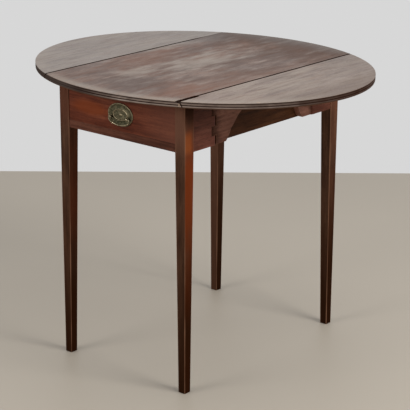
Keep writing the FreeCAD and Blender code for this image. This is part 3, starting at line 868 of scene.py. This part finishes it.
def top_share(edge):
    """The joint arrises are eased most, the rim a little, and the reeds are left as they were cut."""
    if min(v.co.z for v in edge.verts) < top_high.z - weld_gap:
        return 0
    along_joint = max(abs(abs(v.co.x) - joint_x) for v in edge.verts) < joint_slack
    return 1 if along_joint else rim_share


top_polish = {"gloss": 0.42, "shine": 0.3, "figure_scale": 24}
top_tones = [(0.075, 0.041, 0.029), (0.148, 0.092, 0.070), (0.23, 0.158, 0.125)]
centre_coat = wood("faded_centre", "Y", top_tones, **top_polish, finish=centre_finish, shift=(0.2, 0.7, 0.5))
planed("centre_top", top_arris, centre_coat, share=top_share)
leaf_tones = [(0.13, 0.09, 0.073), (0.21, 0.158, 0.132), (0.275, 0.216, 0.182)]
leaf_coat = wood("faded_leaf", "Y", leaf_tones, **top_polish, finish=leaf_finish, shift=(0.7, 0.3, 0.2))
for side in sides:
    planed("leaf_" + side, top_arris, leaf_coat, share=top_share)


# Back-flap hinges
# Iron hinges let in flush under the rule joints: a short flap on the centre board, a long one on the leaf,
# knuckles on a steel pin at the centre of the joint's round, and countersunk screws with sawn slots.

for side in sides:
    for kind in ["hinge_top_flaps_", "hinge_leaf_flaps_", "hinge_pins_"]:
        rounded(kind + side, iron_coat)
    for kind in ["hinge_top_screws_", "hinge_leaf_screws_"]:
        slotted(kind + side)


# Drawer
# A mahogany front lap-dovetailed to thin oak sides, a through-dovetailed oak back,
# and an oak bottom slid into grooves from behind.

front_low, front_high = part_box("drawer_front")
drawer_arris = 0.0006
front_tones = [(0.05, 0.010, 0.004), (0.095, 0.022, 0.010), (0.15, 0.042, 0.020)]
front_polish = {"gloss": 0.45, "shine": 0.08, "figure_scale": 24, "shift": (0.15, 0.35, 0.55)}
orange_streak = (0.155, 0.03, 0.006)
dull_end = (0.115, 0.042, 0.026)
streak_sway = 1.4
streak_edge = (0.2, 0.8)
dull_rise = (0.02, front_high.x)


def front_finish(place, colour, rough):
    """An orange streak at the left of the front and a duller right end."""
    x, _, _ = axes(place)
    sway = wander(streak_sway, place, scale=30, detail=4, drawn=(0.15, 1, 1))
    streak = spot(place, centre=(-0.11, front_low.y, 0.648), size=(0.12, 1, 0.035))
    colour = layered(
        colour,
        (rise(streak + sway, *streak_edge), 0.7, orange_streak),
        (rise(x, *dull_rise), 0.6, dull_end),
    )
    return colour, rough, None


front_coat = wood("drawer_front_polish", "X", front_tones, finish=front_finish, **front_polish)
planed("drawer_front", drawer_arris, front_coat)
for name in ["drawer_side_right", "drawer_side_left", "drawer_bottom"]:
    planed(name, drawer_arris, oak_coat)
cross_oak_coat = wood("bare_oak_across", "X", oak_tones, gloss=0.7, shine=0.2, shift=(0.9, 0.2, 0.4))
planed("drawer_back", drawer_arris, cross_oak_coat)


# Handle
# A pressed oval plate of thin brass held by two turned posts, which are nutted inside the drawer
# and carry the ends of a hanging bail. The lacquer is long gone and the brass has dulled to olive.

rubbed_coat = metal("rubbed_brass", bright=(0.40, 0.335, 0.225), dull=(0.12, 0.105, 0.065), gloss=0.24)
for name in ["handle_posts", "handle_nuts", "handle_bail"]:
    rounded(name, rubbed_coat)

plate_low, plate_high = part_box("handle_plate")
plate_middle = (plate_low + plate_high) / 2
half_wide = plate_high.x - plate_middle.x
half_tall = plate_high.z - plate_middle.z
plate_proud = plate_high.y - plate_low.y
plate_rings = [0.04, 0.08, 0.11, 0.14, 0.18, 0.23, 0.28, 0.33, 0.38, 0.42, 0.46]
plate_rings += [0.5, 0.525, 0.54, 0.553, 0.565, 0.577, 0.59, 0.605, 0.64, 0.68, 0.72]
plate_rings += [0.77, 0.82, 0.87, 0.9, 0.915, 0.93, 0.95, 0.97, 0.985, 1.0]
plate_spokes = 144
plate_flutes = 18
plate_draw = 0.41
plate_floor = 0.4
rim_reach = (0.86, 0.9)
hollow_drop = (plate_low.y + plate_proud * 0.2, plate_low.y + plate_proud * 0.8)
hollow_share = 0.75
skin_share = 0.25


def plate_cover(place, skin):
    """Tarnish lies thick in the plate's hollows, thinner on its rim, and is rubbed off its other crests."""
    x, y, z = axes(place)
    reach = (((x - plate_middle.x) / half_wide) ** 2 + ((z - plate_middle.z) / half_tall) ** 2) ** 0.5
    rim = rise(reach, *rim_reach) * between(skin, low=0.3, high=0.75)
    return higher(rise(y, *hollow_drop) * hollow_share + skin * skin_share, rim)


plate_brass = {"bright": (0.29, 0.238, 0.15), "dull": (0.048, 0.046, 0.026), "gloss": 0.32}
brass_coat = metal("tarnished_brass", **plate_brass, cover=plate_cover)


def swell(reach, middle, half, high):
    """The height of a round moulding across the plate, with its middle and half its width."""
    return high * math.sqrt(max(0, 1 - ((reach - middle) / half) ** 2))


def plate_height(reach, angle):
    """How far the pressed face stands out, as a share of its greatest height."""
    outer_hollow = swell(reach, middle=0.75, half=0.145, high=0.25)
    inner_hollow = swell(reach, middle=0.31, half=0.2, high=0.2)
    rim = swell(reach, middle=0.95, half=0.05, high=0.6)
    ring = swell(reach, middle=0.565, half=0.04, high=0.6)
    knob = swell(reach, middle=0, half=0.13, high=0.4)
    fan = swell(reach, middle=0.31, half=0.18, high=0.16) * (1 + math.cos(plate_flutes * angle)) / 2
    return plate_floor - outer_hollow - inner_hollow + max(rim, ring, fan, knob)


def plate_tall(reach):
    """Half the height of a ring of the plate, which grows flatter towards the middle."""
    return half_tall * reach * (1 - plate_draw * (1 - reach))


shape = bmesh.new()
turns = [2 * math.pi * spoke / plate_spokes for spoke in range(plate_spokes)]
circles = []
for reach in plate_rings:
    circle = []
    for angle in turns:
        x = plate_middle.x + half_wide * reach * math.cos(angle)
        z = plate_middle.z + plate_tall(reach) * math.sin(angle)
        y = plate_high.y - plate_proud * plate_height(reach, angle)
        circle.append(shape.verts.new((x, y, z)))
    circles.append(circle)
circles.append([shape.verts.new((v.co.x, plate_high.y, v.co.z)) for v in circles[-1]])
for inner, outer in zip(circles, circles[1:]):
    for spoke in range(plate_spokes):
        shape.faces.new((inner[spoke - 1], inner[spoke], outer[spoke], outer[spoke - 1]))
shape.faces.new(circles[0])
shape.faces.new(reversed(circles[-1]))
bmesh.ops.recalc_face_normals(shape, faces=shape.faces)
plate = added("handle_plate_pressed", smoothed(shape, "handle_plate_pressed", brass_coat))
seated(plate, "handle_plate")

bead_line = 0.5
bead_size = 0.0006
bead_count = 72
oval_points = 128
ball_segments = 10
ball_rings = 6
bead_kinds = {"Wide": "Float", "Tall": "Float", "Bead": "Float", "Count": "Int", "Coat": "Material"}
beaded, (wide, tall, bead, count, coat) = sizes_tree("oval_beading", **bead_kinds)
ring = beaded.node("GeometryNodeCurvePrimitiveCircle", {}, {"Resolution": oval_points, "Radius": 1.0})
stretch = beaded.node("ShaderNodeCombineXYZ", {}, {"X": wide, "Y": tall, "Z": 1.0})
upright = {"Geometry": ring, "Scale": stretch, "Rotation": (math.pi / 2, 0, 0)}
oval = beaded.node("GeometryNodeTransform", {}, upright)
bead_places = beaded.node("GeometryNodeResampleCurve", {}, {"Curve": oval, "Count": count})
ball_sizes = {"Segments": ball_segments, "Rings": ball_rings, "Radius": bead}
ball = beaded.node("GeometryNodeMeshUVSphere", {}, ball_sizes)
smooth_ball = beaded.node("GeometryNodeSetShadeSmooth", {}, {"Geometry": ball})
beads = {"Points": bead_places, "Instance": smooth_ball}
ended(beaded.node("GeometryNodeInstanceOnPoints", {}, beads), coat)
bead_sizes = {"Wide": half_wide * bead_line, "Tall": plate_tall(bead_line)}
bead_sizes.update({"Bead": bead_size, "Count": bead_count, "Coat": brass_coat})
beading = grown("handle_plate_beading", beaded, bead_sizes, bpy.data.meshes.new("handle_plate_beading"))
bead_y = plate_high.y - plate_proud * plate_height(bead_line, 0)
beading.data.transform(Matrix.Translation((plate_middle.x, bead_y, plate_middle.z)))
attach(beading, body_of["handle_plate"])


# Floor, light and camera
# A plain pale floor that ends at a pale backdrop, under soft even light, seen from the photograph's side.
# The backdrop is the world's own colour, and so is the soft light that fills the shadows.

camera_place = Vector((2.30567, -2.73073, 1.51075))
camera_turn_deg = 40.06
camera_dip_deg = 17.9
camera_roll_deg = 0.32
camera_lens = 131.08
camera_film = 36
floor_behind = 1.48
floor_reach = 7.0
floor_tone = (0.39, 0.345, 0.285)
floor_shade = 0.94
floor_gloss = 0.5
backdrop_tone = (0.68, 0.68, 0.68)
fill_tone = (0.62, 0.62, 0.62)

turn = Matrix.Rotation(math.radians(camera_turn_deg), 4, "Z")
floor_corners = [(-floor_reach, -floor_reach), (floor_reach, -floor_reach)]
floor_corners += [(floor_reach, floor_behind), (-floor_reach, floor_behind)]
floor_mesh = bpy.data.meshes.new("floor")
floor_mesh.from_pydata([turn @ Vector((x, y, 0)) for x, y in floor_corners], [], [(0, 1, 2, 3)])
floor_coat, floor_place = coated("pale_floor")
drift = noise(floor_place, scale=2, detail=2)
floor_colour = blended(drift, floor_tone, [part * floor_shade for part in floor_tone])
shaded({"Base Color": floor_colour, "Roughness": floor_gloss})
floor_mesh.materials.append(floor_coat)
added("floor", floor_mesh)

world = bpy.data.worlds.new("studio")
bpy.context.scene.world = world
world.use_nodes = True
world.node_tree.nodes.clear()
seen = Wire(world.node_tree).node("ShaderNodeLightPath", {}, {}, "Is Camera Ray")
seen = higher(seen, higher(seen.other("Is Glossy Ray"), seen.other("Is Transmission Ray")))
sky_tone = blended(seen, fill_tone, backdrop_tone)
sky = seen.node("ShaderNodeBackground", {}, {"Color": sky_tone, "Strength": 1.0})
sky.node("ShaderNodeOutputWorld", {}, {"Surface": sky})


def softbox(name, place, target, size, power):
    """A round soft light turned to a point on the table."""
    lamp = bpy.data.lights.new(name, "AREA")
    lamp.shape = "DISK"
    lamp.size = size
    lamp.energy = power
    holder = added(name, lamp)
    holder.location = place
    holder.rotation_euler = (Vector(target) - Vector(place)).to_track_quat("-Z", "Y").to_euler()


softbox("softbox_right", place=(3.0, 0.2, 2.35), target=(0, 0, 0.5), size=1.6, power=88)
softbox("softbox_front", place=(-1.2, -3.7, 1.75), target=(0, 0, 0.5), size=2.0, power=68)
softbox("softbox_over", place=(0.2, 0.4, 3.4), target=(0, 0, 0.7), size=2.4, power=12)

lens = bpy.data.cameras.new("camera")
lens.sensor_width = camera_film
lens.lens = camera_lens
camera = added("camera", lens)
tilt = Matrix.Rotation(math.radians(90 - camera_dip_deg), 4, "X")
roll = Matrix.Rotation(math.radians(camera_roll_deg), 4, "Z")
camera.matrix_world = Matrix.Translation(camera_place) @ turn @ tilt @ roll
bpy.context.scene.camera = camera
bpy.context.scene.view_settings.view_transform = "Standard"
